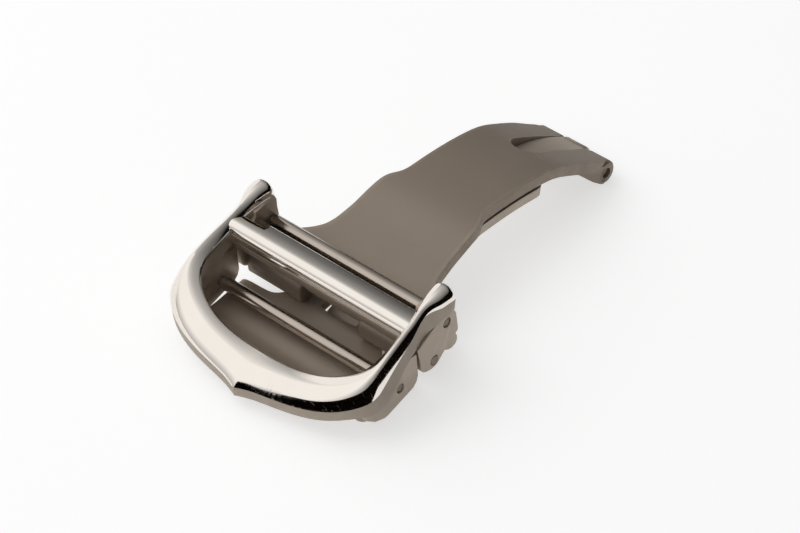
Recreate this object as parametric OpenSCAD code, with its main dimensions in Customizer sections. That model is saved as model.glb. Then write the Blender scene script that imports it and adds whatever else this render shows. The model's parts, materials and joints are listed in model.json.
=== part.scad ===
// Deployant clasp for a leather watch strap, shown closed.
// A shield-shaped cover frame with a cross bar and two horns carries one half of the strap.
// It turns up on two yoke plates, and these swing on a curved upper blade,
// which folds over a thin lower blade. The other half of the strap hangs on a sprung bar.
// X runs along the clasp with the point of the frame at -X and the fold at +X.
// Y runs along every pin, Z points away from the wrist, and z = 0 is the surface it rests on.
// Outlines near the head are drawn from the head hinge pin, those near the fold from the fold pin.

/* [Lengths] */
// Distance from the head hinge pin to the fold pin
blade_span = 29.7; // [28.5:0.1:31.5]
// Reach of the frame's point in front of the head hinge pin
point_reach = 12.4; // [12:0.1:13]
// Height of the head hinge pin above the resting surface
hinge_z = 3; // [2.9:0.05:3.2]

/* [Cover frame] */
// Half the widest width of the frame
frame_half_w = 11; // [10.7:0.05:11.4]
// Half the width between the flat side walls
wall_in = 9.35; // [9.25:0.05:9.5]
// Half the width over the flat side walls
wall_out = 10.4; // [10.2:0.05:10.5]
// Distance of each horn from the middle
horn_y = 9.85; // [9.7:0.05:9.95]
// Radius of the horns
horn_r = 1.07; // [0.95:0.01:1.15]
// Height of the horns' middle above the head hinge pin
horn_rise = 5.53; // [5.4:0.01:5.7]
// Width of the band at the point
point_band = 3.2; // [2.8:0.1:3.6]
// Width of the bevel under the polished band
bevel_w = 0.55; // [0.3:0.05:0.7]
// Length of the cross bar along the clasp
cross_l = 2.45; // [2.2:0.05:2.6]
// Height of the cross bar
cross_h = 2.4; // [2:0.05:2.7]
// Height of the cross bar's crown above the head hinge pin
cross_rise = 4.95; // [4.8:0.05:5.1]
// Distance from the head hinge pin forward to the middle of the cross bar
cross_fwd = 1.6; // [1.5:0.05:1.8]
// Radius of the frame's two hinge ears
hinge_ear_r = 0.95; // [0.85:0.01:1.05]
// Thickness of the frame's two hinge ears
hinge_ear_t = 0.5; // [0.4:0.05:0.6]

/* [Rods and pins] */
// Distance of the rear rod behind the head hinge pin
rear_rod_back = 1.48; // [1.4:0.02:1.6]
// Height of the rear rod above the head hinge pin
rear_rod_rise = 3; // [2.9:0.02:3.1]
// Radius of the rear rod's sleeve
rear_sleeve_r = 0.71; // [0.6:0.01:0.8]
// Radius of the rear rod's pin
rear_pin_r = 0.43; // [0.35:0.01:0.48]
// Distance of the front rod in front of the head hinge pin
front_rod_fwd = 4.02; // [3.8:0.02:4.2]
// Depth of the front rod below the head hinge pin
front_rod_drop = 0.34; // [0.2:0.02:0.5]
// Radius of the front rod's sleeve
front_sleeve_r = 0.6; // [0.55:0.01:0.7]
// Radius of the front rod's pin
front_pin_r = 0.38; // [0.3:0.01:0.42]
// Depth of both rods' pins below the outer faces of the walls
rod_recess = 0.25; // [0.1:0.05:0.4]
// Radius of the head hinge pin
head_pin_r = 0.42; // [0.35:0.01:0.45]
// Radius of the fold pin
fold_pin_r = 0.48; // [0.4:0.01:0.55]
// Depth of the fold pin's ends below the ends of the barrel
fold_pin_recess = 0.25; // [0.1:0.05:0.5]

/* [Blades] */
// Thickness of the upper blade
upper_t = 1; // [0.8:0.05:1.1]
// Thickness of the lower blade
lower_t = 0.85; // [0.7:0.05:0.9]
// Gap between the closed blades
blade_gap = 0.3; // [0.2:0.05:0.5]
// Half the width of the blades past their shoulders
strip_half_w = 4.3; // [4:0.05:4.5]
// Half the width of the upper blade before its shoulders
neck_half_w = 5.3; // [5.1:0.05:5.5]
// Gap between the upper blade's base and each side wall
base_gap = 0.45; // [0.35:0.05:0.65]
// Half the width of the gap in the forked base
fork_half_w = 3.2; // [2.8:0.1:3.6]
// Radius of the base's two knuckles
base_knuckle_r = 1.1; // [0.9:0.01:1.15]
// Radius of the fold barrel
fold_barrel_r = 1.1; // [1:0.05:1.2]
// Half the width of the fold barrel
fold_half_w = 3.95; // [3.7:0.05:4.2]
// Length of the notch in front of the fold pin
notch_l = 7.5; // [7:0.1:8]
// Half the width of the centre knuckle and its tongue
tongue_half_w = 1.3; // [1.1:0.05:1.5]
// Gap between the lower blade's head plate and each side wall
plate_gap = 0.15; // [0.1:0.05:0.4]
// Half the width of the lower blade's neck
lower_neck_half_w = 5; // [4.6:0.1:5.3]
// Half the width of the window in the lower blade's neck
neck_window_half_w = 1.95; // [1.6:0.05:2.3]
// Length of the window in the lower blade's neck
neck_window_l = 2.9; // [2.5:0.1:3.2]
// Radius of the rolled ears on the lower blade
ear_r = 0.55; // [0.45:0.05:0.6]
// How far the rolled ears end inside the outer faces of the walls
ear_short = 0.55; // [0.4:0.05:0.7]

/* [Strap bar] */
// Distance of the strap bar in front of the head hinge pin
bar_fwd = 8.4; // [8.3:0.05:8.5]
// Depth of the strap bar below the head hinge pin
bar_drop = 1.25; // [1.2:0.05:1.35]
// Half the width over the eyes that hold the strap bar
eye_half_w = 7.7; // [7.4:0.05:7.9]
// Radius of the eyes
eye_r = 0.85; // [0.75:0.01:0.9]
// Thickness of each eye
eye_t = 1.1; // [0.9:0.05:1.3]
// Radius of the strap bar's tube
bar_r = 0.6; // [0.55:0.01:0.65]
// Wall of the strap bar's tube
bar_wall = 0.15; // [0.1:0.01:0.17]
// Radius of the strap bar's tips
tip_r = 0.32; // [0.26:0.01:0.34]
// Thickness of the lip at each end of the tube
lip_t = 0.4; // [0.3:0.05:0.5]
// Thickness of the flange on each tip
flange_t = 0.4; // [0.3:0.05:0.5]
// Thickness of the spring's wire
wire_t = 0.14; // [0.1:0.01:0.16]

/* [Yoke plates] */
// Radius of the rounded top of each yoke plate
yoke_r = 1.15; // [1.1:0.01:1.2]
// Open seam between the yoke plates and the frame
seam = 0.1; // [0.06:0.01:0.14]

/* [Clearances] */
// Clearance all round a pin that turns in its hole
run_c = 0.04; // [0.02:0.01:0.08]
// Clearance all round a pin that is fixed in its hole
fix_c = 0.015; // [0.01:0.005:0.03]
// Gap between pieces that pass each other sideways
side_c = 0.1; // [0.05:0.01:0.15]

/* [Hidden] */
$fn = 48;

// Points between two neighbours on a curve, and the overshoot of a cut past a face
steps = 4;
over = 0.02;
past = 1;
big = 40;

// Pin axes as [x, z], with the clasp's length centred on x = 0
half_len = (point_reach + blade_span + fold_barrel_r) / 2;
head_pin = [point_reach - half_len, hinge_z];
fold_axis = [head_pin[0] + blade_span, fold_barrel_r];
rear_rod_axis = head_pin + [rear_rod_back, rear_rod_rise];
front_rod_axis = head_pin + [-front_rod_fwd, -front_rod_drop];
bar_axis = head_pin + [-bar_fwd, -bar_drop];

// Half widths of the three parts of the blades that stand between the walls
base_half_w = wall_in - base_gap;
plate_half_w = wall_in - plate_gap;
ear_half_w = wall_out - ear_short;

// Curve through a list of points, with n steps between neighbours
function between(a, b, c, d, t) =
    0.5 * (2 * b + (c - a) * t + (2 * a - 5 * b + 4 * c - d) * t * t + (3 * b - a - 3 * c + d) * t * t * t);
function curve(p, n = steps) = [
    for (i = [0 : len(p) - 2], k = [0 : n - 1])
        between(p[max(i - 1, 0)], p[i], p[i + 1], p[min(i + 2, len(p) - 1)], k / n),
    p[len(p) - 1]
];
function flipped(p) = [for (q = p) [q[0], -q[1]]];
function backwards(p) = [for (i = [len(p) - 1 : -1 : 0]) p[i]];
function shifted(p, d) = [for (q = p) q + d];

// A plan outline that is symmetric about the X axis, from one of its halves
function mirrored_outline(half) = concat(half, backwards(flipped(half)));

// Extrudes an outline drawn in X and Z along Y, between y0 and y1
module along_y(y0, y1) {
    translate([0, y1, 0]) rotate([90, 0, 0]) linear_extrude(y1 - y0) children();
}

// A round bar along Y at an [x, z] axis
module bar_y(axis, r, y0, y1) {
    translate([axis[0], y1, axis[1]]) rotate([90, 0, 0]) cylinder(r = r, h = y1 - y0);
}

module both_sides() {
    children();
    mirror([0, 1, 0]) children();
}

// Cover frame
// Half of the band's outer and inner edges, from the point round to a horn.
// Both lists have the same number of points, so the band is lofted between them.
tip = -point_reach;
wide = frame_half_w;
band_outer = shifted(curve([
    [tip, 0], [tip + 0.42, 1.6], [tip + 0.8, 4], [tip + 1.35, 6.6], [tip + 2.35, 9],
    [-8.55, wide - 0.35], [-6.9, wide], [-4.6, wide - 0.2], [-2.5, wide - 0.5], [-0.9, wide - 0.68],
    [0.3, horn_y + horn_r - 0.2], [rear_rod_back, horn_y + horn_r]
]), [head_pin[0], 0]);
band_inner = shifted(curve([
    [tip + point_band, 0], [tip + 3.25, 2], [tip + 3.45, 4], [-8.45, 6.1], [-7.5, 8.05],
    [-6.4, wall_in - 0.3], [-5.3, wall_in], [-4, wall_in], [-2.6, wall_in], [-1.3, wall_in - 0.1],
    [0.2, wall_in - 0.35], [rear_rod_back, horn_y - horn_r]
]), [head_pin[0], 0]);
// Heights along X: crest, foot of the polished band, foot of the bevel
crest_line = curve([
    [tip, -0.8], [-10.5, 0.4], [-9, 1.45], [-7.3, 2.55], [-5.8, 3.4], [-4.5, 3.98],
    [-3.4, 4.38], [-2.3, 4.8], [-1.1, 5.5], [0.1, 6.2], [rear_rod_back, horn_rise + horn_r], [3, 6.6]
]);
polish_line = curve([
    [tip, -1.25], [-10.5, -0.25], [-9, 0.45], [-7.3, 1.05], [-5.8, 1.85], [-4.5, 2.6],
    [-3.4, 3.35], [-2.3, 4.1], [-1.1, 4.8], [0.1, 5.3], [rear_rod_back, horn_rise], [3, 5.5]
]);
bevel_line = curve([
    [tip, -2.05], [-10.6, -1.15], [-9.6, -0.7], [-8.2, -0.5], [-7, -0.6], [-5.9, -0.35],
    [-4.8, 0.6], [-3.8, 1.5], [-2.7, 2.12], [-2.1, 2.35], [-0.4, 3.4], [0.5, 3.95], [3, 4.1]
]);
// Fall of the band's inner edge below the crest, rise of its underside there, and its fullness
inner_drop = 0.4;
inner_lift = 0.5;
fullness = 0.85;

// One cross-section of the band, as 3D points, at step i of the two edges
function height(line, x) = hinge_z + lookup(x - head_pin[0], line);
function band_section(i, side) =
    let (o = band_outer[i], n = band_inner[i], m = (o + n) / 2, h = (o - n) / 2, foot = o - h / norm(h) * bevel_w)
    concat(
        [[n[0], side * n[1], height(bevel_line, n[0]) + inner_lift]],
        [[foot[0], side * foot[1], height(bevel_line, foot[0])]],
        [for (a = [0 : 18 : 90])
            let (p = m + h * pow(cos(a), fullness), low = height(polish_line, p[0]), top = height(crest_line, p[0]))
            [p[0], side * p[1], low + (top - low) * pow(sin(a), fullness)]],
        [for (u = [0.4, 0.7, 0.9, 1])
            let (p = m - h * u)
            [p[0], side * p[1], height(crest_line, p[0]) - inner_drop * u * u * u]]
    );

// The round end of a horn: its last section, drawn in towards a point low in its middle
last_step = len(band_outer) - 1;
horn_foot = hinge_z + horn_rise - 1.2;
function horn_section(a, side) = [
    for (p = band_section(last_step, side))
        [p[0] + horn_r * sin(a), side * horn_y + (p[1] - side * horn_y) * cos(a),
            horn_foot + (p[2] - horn_foot) * cos(a)]
];
cap_angles = [20, 40, 60, 75, 86];
band_rings = concat(
    [for (a = backwards(cap_angles)) horn_section(a, 1)],
    [for (i = [last_step : -1 : 1]) band_section(i, 1)],
    [for (i = [0 : last_step]) band_section(i, -1)],
    [for (a = cap_angles) horn_section(a, -1)]
);

// Skin over a row of rings that have the same number of points, closed at both ends
module skin(rings) {
    n = len(rings[0]);
    last = len(rings) - 1;
    polyhedron(
        points = [for (r = rings) each r],
        faces = concat(
            [for (i = [0 : last - 1], k = [0 : n - 1])
                let (a = i * n + k, b = i * n + (k + 1) % n) [a, b, b + n]],
            [for (i = [0 : last - 1], k = [0 : n - 1])
                let (a = i * n + k, b = i * n + (k + 1) % n) [a, b + n, a + n]],
            [[for (k = [n - 1 : -1 : 0]) k]],
            [[for (k = [0 : n - 1]) last * n + k]]
        )
    );
}

// Ears inside the yoke plates, on which the frame turns about the rear rod
hinge_ear_in = wall_in - side_c - hinge_ear_t;

module hinge_ears() {
    both_sides() along_y(hinge_ear_in, wall_in - side_c) {
        translate(rear_rod_axis) circle(r = hinge_ear_r);
        translate(rear_rod_axis) polygon([[-hinge_ear_r, 0], [-1.9, 1.3], [-0.6, 1.9], [0, hinge_ear_r]]);
    }
}

// Flat side wall of the frame, which holds the front rod
side_wall = [
    [-8.3, 0.2], [-7.5, -1.3], [-6.7, -2], [-5.95, -2.28], [-5.55, -2.26],
    [-2.5, -1.3], [-2.1, -0.9], [-1.9, -0.3], [-2.12, 2.1], [-3.9, 2.2], [-5.5, 1.2], [-7, 0.3]
];

cross_floor = head_pin[1] + cross_rise - cross_h;
cross_mid = head_pin[0] - cross_fwd;
// Rise of the cross bar's crown above the tops of its front and rear faces
cross_crown = 0.75;

module crossbar() {
    shoulder = cross_h - cross_crown;
    along_y(-horn_y, horn_y) translate([cross_mid - cross_l / 2, cross_floor])
        polygon(concat([[0, 0]],
            curve([[0, shoulder], [0.3, shoulder + 0.4], [cross_l / 2, cross_h],
                [cross_l - 0.3, shoulder + 0.45], [cross_l, shoulder + 0.05]]),
            [[cross_l, 0]]));
}

module cover_frame() {
    color("silver") difference() {
        union() {
            skin(band_rings);
            crossbar();
            hinge_ears();
            both_sides() along_y(wall_in, wall_out) translate(head_pin) polygon(side_wall);
        }
        both_sides() {
            along_y(wall_in - side_c / 2, wall_out + past) yoke_outline(seam);
            bar_y(rear_rod_axis, rear_pin_r + run_c, hinge_ear_in - past, wall_out);
            bar_y(front_rod_axis, front_pin_r + fix_c, wall_in - past, wall_out + past);
        }
    }
}

// Rods: a sleeve between the walls turns on a pin that is fixed in them
module rod_sleeve(axis, r, pin_r, half) {
    color("silver") difference() {
        bar_y(axis, r, side_c - half, half - side_c);
        bar_y(axis, pin_r + run_c, -half, half);
    }
}

module rod_pin(axis, r) {
    color("silver") bar_y(axis, r, rod_recess - wall_out, wall_out - rod_recess);
}

module front_rod_sleeve() {
    rod_sleeve(front_rod_axis, front_sleeve_r, front_pin_r, wall_in);
}

module front_rod_pin() {
    rod_pin(front_rod_axis, front_pin_r);
}

module rear_rod_sleeve() {
    rod_sleeve(rear_rod_axis, rear_sleeve_r, rear_pin_r, hinge_ear_in);
}

module rear_rod_pin() {
    rod_pin(rear_rod_axis, rear_pin_r);
}

// Yoke plates
// Outline of a plate, as points and the way each moves when the outline grows
yoke_edge = [
    [[0.9, 4], [-0.45, 0.9]], [[0.43, 3.8], [-0.5, 0.87]], [[-2.05, 2.28], [-0.9, 0.7]],
    [[-1.72, 0.9], [-1, -0.1]], [[-1.5, -0.2], [-1, -0.2]], [[-1.15, -0.55], [-0.6, -0.8]],
    [[-0.3, -0.72], [-0.1, -1]], [[0.48, -0.45], [0.5, -0.9]], [[1.33, 0.35], [0.6, -0.8]],
    [[2.5, 1.2], [0.7, -0.7]], [[2.83, 1.7], [1, -0.2]], [[2.62, 3.1], [1, 0]]
];

module yoke_outline(grow = 0) {
    translate(rear_rod_axis) circle(r = yoke_r + grow);
    translate(head_pin) polygon([for (q = yoke_edge) q[0] + grow * q[1]]);
}

module yoke_plate() {
    color("darkgray") difference() {
        along_y(wall_in, wall_out) yoke_outline();
        bar_y(rear_rod_axis, rear_pin_r + fix_c, wall_in - past, wall_out + past);
        bar_y(head_pin, head_pin_r + fix_c, wall_in - past, wall_out + past);
    }
}

module yoke_plate_left() {
    yoke_plate();
}

module yoke_plate_right() {
    mirror([0, 1, 0]) yoke_plate();
}

module head_hinge_pin() {
    color("silver") bar_y(head_pin, head_pin_r, -wall_out, wall_out);
}

// Crown lines of the two blades, which nest where they lie over each other
nest = [0, -upper_t - blade_gap];
arch = [
    head_pin + [7.6, 2.9], head_pin + [9.6, 3.58], head_pin + [11.1, 3.92], head_pin + [12.8, 4.02],
    head_pin + [14.8, 4.02], fold_axis + [-12.5, 5.83], fold_axis + [-10, 5.58]
];
upper_top = curve(concat(
    [head_pin + [0, base_knuckle_r], head_pin + [1.4, 1.2], head_pin + [3.5, 1.72], head_pin + [4.95, 2.16]],
    arch,
    [fold_axis + [-7.4, 5.1], fold_axis + [-5.7, 4.35], fold_axis + [-3.6, 3.3], fold_axis + [-1.6, 2.2],
        fold_axis + [0, fold_barrel_r]]
));
// The head plate stands on the resting surface along a crease, and turns up in front of it
crease_x = head_pin[0] - 5.7;
crease_step = 0.7;
crease_lift = 0.14;
front_lift = 0.5;
plate_front = crease_x - 2 * crease_step;
lower_top = curve(concat(
    [[plate_front, lower_t + front_lift], [crease_x - crease_step, lower_t + crease_lift], [crease_x, lower_t],
        [crease_x + crease_step, lower_t + crease_lift]],
    [head_pin + [-2.7, -1.6], head_pin + [-1.1, -1.42], head_pin + [0.4, -1.22], head_pin + [1.9, -1.1],
        head_pin + [3.4, -0.65], head_pin + [5.3, 0.4]],
    shifted(arch, nest),
    [fold_axis + [-8.4, 5.33] + nest, fold_axis + [-6, 3.7], fold_axis + [-3.6, 3], fold_axis + [-1.6, 2.15],
        fold_axis + [0, fold_barrel_r]]
));

// A sheet of thickness t under a crown line
module sheet(top, t, half_w) {
    along_y(-half_w, half_w) polygon(concat(top, backwards(shifted(top, [0, -t]))));
}

// Upper blade
upper_plan = concat(
    [[head_pin[0], base_half_w]],
    shifted(curve([[1.6, base_half_w], [2.6, base_half_w - 0.3], [3.5, base_half_w - 1.4], [4.9, 5.95],
        [7.6, neck_half_w + 0.1], [9.6, neck_half_w], [11, neck_half_w - 0.1], [12, neck_half_w - 0.45],
        [12.6, strip_half_w + 0.1], [13.4, strip_half_w]]), [head_pin[0], 0]),
    [[fold_axis[0] - 3, strip_half_w], [fold_axis[0] - 1.2, fold_half_w], [fold_axis[0], fold_half_w]]
);
notch_start = fold_axis[0] - notch_l;
notch_half_w = tongue_half_w + side_c;
// The fork is open from in front of the knuckles to the blade's root behind them
fork_root = 1.2;

module upper_blade() {
    color("gray") difference() {
        union() {
            intersection() {
                sheet(upper_top, upper_t, base_half_w);
                linear_extrude(big) polygon(mirrored_outline(upper_plan));
            }
            both_sides() bar_y(head_pin, base_knuckle_r, fork_half_w, base_half_w);
            bar_y(fold_axis, fold_barrel_r, -fold_half_w, fold_half_w);
        }
        bar_y(head_pin, head_pin_r + run_c, -big, big);
        bar_y(fold_axis, fold_pin_r + fix_c, -big, big);
        translate([head_pin[0] - past, -fork_half_w, 0]) cube([past + fork_root, 2 * fork_half_w, big]);
        translate([notch_start + notch_half_w, 0, 0]) cylinder(r = notch_half_w, h = big);
        translate([notch_start + notch_half_w, -notch_half_w, -over]) cube([big, 2 * notch_half_w, big]);
    }
}

module fold_pin() {
    color("silver") bar_y(fold_axis, fold_pin_r, fold_pin_recess - fold_half_w, fold_half_w - fold_pin_recess);
}

// Lower blade
wing_front = head_pin[0] + 2.5;
wing_rear = head_pin[0] + 4.1;
wing_half_w = wall_in - side_c / 2;
lower_end = fold_axis[0] - 8.4;
end_round = 1.4;
lower_plan = concat(
    [[plate_front, eye_half_w], [plate_front + 1, plate_half_w]],
    shifted(curve([[-1.7, plate_half_w], [-1.45, plate_half_w - 0.5], [-1.55, 7.55], [-1.47, 6.6], [-1.27, 6],
        [-0.83, 5.5], [0, lower_neck_half_w]]), [head_pin[0], 0]),
    [[wing_front, lower_neck_half_w], [wing_front + 0.3, wing_half_w], [wing_rear - 0.3, wing_half_w]],
    curve([[wing_rear, wing_half_w - 0.6], [wing_rear + 0.4, 6.4], [wing_rear + 1.4, 4.9],
        [wing_rear + 3, strip_half_w]]),
    [for (a = [90 : -18 : 0])
        [lower_end - end_round + end_round * cos(a), strip_half_w - end_round + end_round * sin(a)]],
    [[lower_end + 0.2, tongue_half_w], [fold_axis[0], tongue_half_w]]
);
eye_in = eye_half_w - eye_t;
ear_axis = head_pin + [2.62, 0.03];
// The front edge of the neck's window is an arc
window_front = head_pin[0] - 0.36;
window_front_r = 6.4;
// Each ear is rolled up from a lip at the wing's edge
ear_lip_t = 0.3;
ear_in = wing_half_w - ear_lip_t;

module lower_blade() {
    color("gray") difference() {
        union() {
            intersection() {
                sheet(lower_top, lower_t, wing_half_w);
                linear_extrude(big) polygon(mirrored_outline(lower_plan));
            }
            both_sides() {
                bar_y(bar_axis, eye_r, eye_in, eye_half_w);
                along_y(eye_in, eye_half_w)
                    polygon([bar_axis + [0, eye_r], [crease_x - crease_step, lower_t + crease_lift],
                        [crease_x - crease_step, crease_lift], bar_axis + [0.2, -eye_r]]);
                bar_y(ear_axis, ear_r, ear_in, ear_half_w);
                along_y(ear_in, wing_half_w)
                    polygon([ear_axis - [ear_r, 0], ear_axis + [ear_r, 0], head_pin + [3.35, -1],
                        head_pin + [2.85, -1.2]]);
            }
            bar_y(fold_axis, fold_barrel_r, -tongue_half_w, tongue_half_w);
        }
        bar_y(fold_axis, fold_pin_r + run_c, -big, big);
        both_sides() bar_y(bar_axis, tip_r + run_c, eye_in - past, eye_half_w + past);
        intersection() {
            translate([window_front, -neck_window_half_w, -over])
                cube([neck_window_l, 2 * neck_window_half_w, hinge_z]);
            translate([window_front + window_front_r, 0, -over]) cylinder(r = window_front_r, h = hinge_z);
        }
    }
}

// Strap bar
tube_end = eye_in - side_c;
bore_r = bar_r - bar_wall;
flange_r = bore_r - run_c;
flange_out = tube_end - lip_t - side_c / 2;
flange_in = flange_out - flange_t;

module strap_bar_tube() {
    color("silver") difference() {
        bar_y(bar_axis, bar_r, -tube_end, tube_end);
        bar_y(bar_axis, bore_r, lip_t - tube_end, tube_end - lip_t);
        bar_y(bar_axis, tip_r + run_c, -eye_in, eye_in);
    }
}

module strap_bar_tip() {
    color("silver") {
        bar_y(bar_axis, tip_r, flange_in, eye_half_w - side_c / 2);
        bar_y(bar_axis, flange_r, flange_in, flange_out);
    }
}

module strap_bar_tip_left() {
    strap_bar_tip();
}

module strap_bar_tip_right() {
    mirror([0, 1, 0]) strap_bar_tip();
}

module strap_bar_spring() {
    color("silver") difference() {
        bar_y(bar_axis, flange_r, -flange_in, flange_in);
        bar_y(bar_axis, flange_r - wire_t, -eye_in, eye_in);
    }
}

cover_frame();
front_rod_sleeve();
front_rod_pin();
rear_rod_sleeve();
rear_rod_pin();
yoke_plate_left();
yoke_plate_right();
head_hinge_pin();
upper_blade();
fold_pin();
lower_blade();
strap_bar_tube();
strap_bar_tip_left();
strap_bar_tip_right();
strap_bar_spring();
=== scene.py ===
import json
import math

import bmesh
import bpy
import numpy as np
from mathutils import Matrix, Vector


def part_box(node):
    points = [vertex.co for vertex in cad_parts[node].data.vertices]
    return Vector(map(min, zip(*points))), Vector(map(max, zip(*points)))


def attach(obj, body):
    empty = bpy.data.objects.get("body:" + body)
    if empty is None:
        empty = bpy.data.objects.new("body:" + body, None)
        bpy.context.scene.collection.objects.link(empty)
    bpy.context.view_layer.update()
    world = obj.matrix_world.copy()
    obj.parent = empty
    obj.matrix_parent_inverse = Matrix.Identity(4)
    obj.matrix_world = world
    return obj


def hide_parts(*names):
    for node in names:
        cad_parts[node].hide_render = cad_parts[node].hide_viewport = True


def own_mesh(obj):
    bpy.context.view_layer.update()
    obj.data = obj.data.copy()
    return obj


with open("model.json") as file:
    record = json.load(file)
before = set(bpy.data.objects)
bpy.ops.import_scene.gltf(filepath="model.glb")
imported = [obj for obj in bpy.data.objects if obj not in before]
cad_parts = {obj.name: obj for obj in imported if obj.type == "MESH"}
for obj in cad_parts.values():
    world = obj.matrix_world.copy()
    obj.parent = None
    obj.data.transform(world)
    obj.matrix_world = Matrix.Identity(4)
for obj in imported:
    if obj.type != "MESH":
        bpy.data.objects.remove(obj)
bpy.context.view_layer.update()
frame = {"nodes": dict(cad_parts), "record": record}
print("packed clasp loaded:", len(frame["nodes"]), "pieces")

mm = 0.001
headPin = (-9.2, 3.0)  # x and z of the head hinge, in millimetres, as for the other pins
foldPin = (20.5, 1.1)
rearRod = (-7.72, 6.0)
frontRod = (-13.22, 2.66)
strapBar = (-17.6, 1.75)
wallIn, wallOut = 9.35, 10.4  # the two faces of the side walls and of the yoke plates


def fromHead(x, y, z):
    # a spot measured from the head hinge in millimetres, as a place in metres
    return Vector(((headPin[0] + x) * mm, y * mm, (headPin[1] + z) * mm))


def around(pin, points):
    # x and z points that are measured from a pin
    return [(pin[0] + x, pin[1] + z) for x, z in points]


def arcPoints(middle, radius, start, end, count):
    return [(middle[0] + radius * math.cos(math.radians(a)), middle[1] + radius * math.sin(math.radians(a)))
            for a in np.linspace(start, end, count)]


def bothWays(side, near, far):
    # the lower and the upper y of something that lies on one side of the clasp
    return sorted((side * near, side * far))


def spline(points, count=None, params=None):
    # natural cubic through all the points, curvature continuous so that polish reflects cleanly
    p = np.array(points, float)
    t = np.arange(len(p), dtype=float) if params is None else np.array(params, float)
    n, h = len(p), np.diff(t)
    a, b = np.zeros((n, n)), np.zeros((n, p.shape[1]))
    a[0, 0] = a[-1, -1] = 1
    for i in range(1, n - 1):
        a[i, i - 1:i + 2] = h[i - 1], 2 * (h[i - 1] + h[i]), h[i]
        b[i] = 6 * ((p[i + 1] - p[i]) / h[i] - (p[i] - p[i - 1]) / h[i - 1])
    m = np.linalg.solve(a, b)

    def at(x):
        i = int(np.clip(np.searchsorted(t, x, side="right") - 1, 0, n - 2))
        u, v, w = t[i + 1] - x, x - t[i], h[i]
        return ((m[i] * u ** 3 + m[i + 1] * v ** 3) / (6 * w)
                + (p[i] / w - m[i] * w / 6) * u + (p[i + 1] / w - m[i + 1] * w / 6) * v)

    if count is None:
        return at
    return [at(x) for x in np.linspace(t[0], t[-1], count)]


def heightLine(points):
    # height as a smooth function of x
    at = spline([[z] for x, z in points], params=[x for x, z in points])
    return lambda x: float(at(min(max(x, points[0][0]), points[-1][0]))[0])


def widthAt(stations):
    # half width as a plain line through x stations
    xs, ws = [x for x, w in stations], [w for x, w in stations]
    return lambda x: float(np.interp(x, xs, ws))


def evened(points, reach):
    # the line through the points with its small kinks taken out over the given reach
    xs, zs = [p[0] for p in points], [p[1] for p in points]
    step = 0.05
    even = np.arange(xs[0] - 4 * reach, xs[-1] + 4 * reach, step)
    flat = np.interp(even, xs, zs)
    before, after = even < xs[0], even > xs[-1]
    flat[before] += (even[before] - xs[0]) * (zs[1] - zs[0]) / (xs[1] - xs[0])
    flat[after] += (even[after] - xs[-1]) * (zs[-1] - zs[-2]) / (xs[-1] - xs[-2])
    bell = np.exp(-0.5 * (np.arange(-3 * reach, 3 * reach + step, step) / reach) ** 2)
    smooth = np.convolve(flat, bell / bell.sum(), mode="same")
    return lambda x: float(np.interp(x, even, smooth))


def clearSelection():
    if bpy.context.object and bpy.context.object.mode != "OBJECT":
        bpy.ops.object.mode_set(mode="OBJECT")
    bpy.ops.object.select_all(action="DESELECT")


def takeUp(piece):
    clearSelection()
    piece.select_set(True)
    bpy.context.view_layer.objects.active = piece


def newest(name):
    # the object that was just added, under its own name
    piece = bpy.context.object
    piece.name = name
    return piece


def fixPlace(piece):
    # puts the piece's place into its mesh
    takeUp(piece)
    bpy.ops.object.transform_apply(location=True, rotation=True, scale=True)


def tidyNormals(piece, merge=0.000001):
    takeUp(piece)
    bpy.ops.object.mode_set(mode="EDIT")
    bpy.ops.mesh.select_all(action="SELECT")
    bpy.ops.mesh.remove_doubles(threshold=merge)
    bpy.ops.mesh.normals_make_consistent(inside=False)
    bpy.ops.object.mode_set(mode="OBJECT")


def useModifier(piece, kind, **settings):
    takeUp(piece)
    bpy.ops.object.modifier_add(type=kind)
    modifier = piece.modifiers[-1]
    for key, value in settings.items():
        setattr(modifier, key, value)
    bpy.ops.object.modifier_apply(modifier=modifier.name)


def softEdges(piece, width, segments=3, angle=35):
    useModifier(piece, "BEVEL", width=width * mm, segments=segments, limit_method="ANGLE",
                angle_limit=math.radians(angle), use_clamp_overlap=True, harden_normals=False)


def smoothBelow(piece, angle):
    takeUp(piece)
    bpy.ops.object.shade_smooth_by_angle(angle=math.radians(angle))


def joinInto(piece, others):
    takeUp(piece)
    for other in others:
        other.select_set(True)
    bpy.ops.object.join()
    return piece


def roundBar(name, axis, radius, y0, y1, sides=64, edge=0.0):
    # a bar along Y; axis is its x and z
    clearSelection()
    bpy.ops.mesh.primitive_cylinder_add(vertices=sides, radius=radius * mm, depth=(y1 - y0) * mm,
                                        location=(axis[0] * mm, (y0 + y1) / 2 * mm, axis[1] * mm),
                                        rotation=(math.pi / 2, 0, 0))
    bar = newest(name)
    fixPlace(bar)
    if edge:
        softEdges(bar, edge, 3, 50)
    return bar


def drill(piece, axis, radius, y0, y1):
    # a round hole along Y
    cutter = roundBar("hole", axis, radius, y0, y1)
    useModifier(piece, "BOOLEAN", operation="DIFFERENCE", solver="EXACT", object=cutter)
    bpy.data.objects.remove(cutter)


def plateAlongY(name, outline, y0, y1):
    # a flat plate from an outline of x and z points, extruded along Y
    clearSelection()
    bpy.ops.mesh.primitive_circle_add(vertices=len(outline), radius=1, fill_type="NGON")
    plate = newest(name)
    for vert, (x, z) in zip(plate.data.vertices, outline):
        vert.co = (x * mm, y0 * mm, z * mm)
    bpy.ops.object.mode_set(mode="EDIT")
    bpy.ops.mesh.select_all(action="SELECT")
    bpy.ops.mesh.extrude_region_move(TRANSFORM_OT_translate={"value": (0, (y1 - y0) * mm, 0)})
    bpy.ops.object.mode_set(mode="OBJECT")
    tidyNormals(plate)
    return plate


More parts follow.
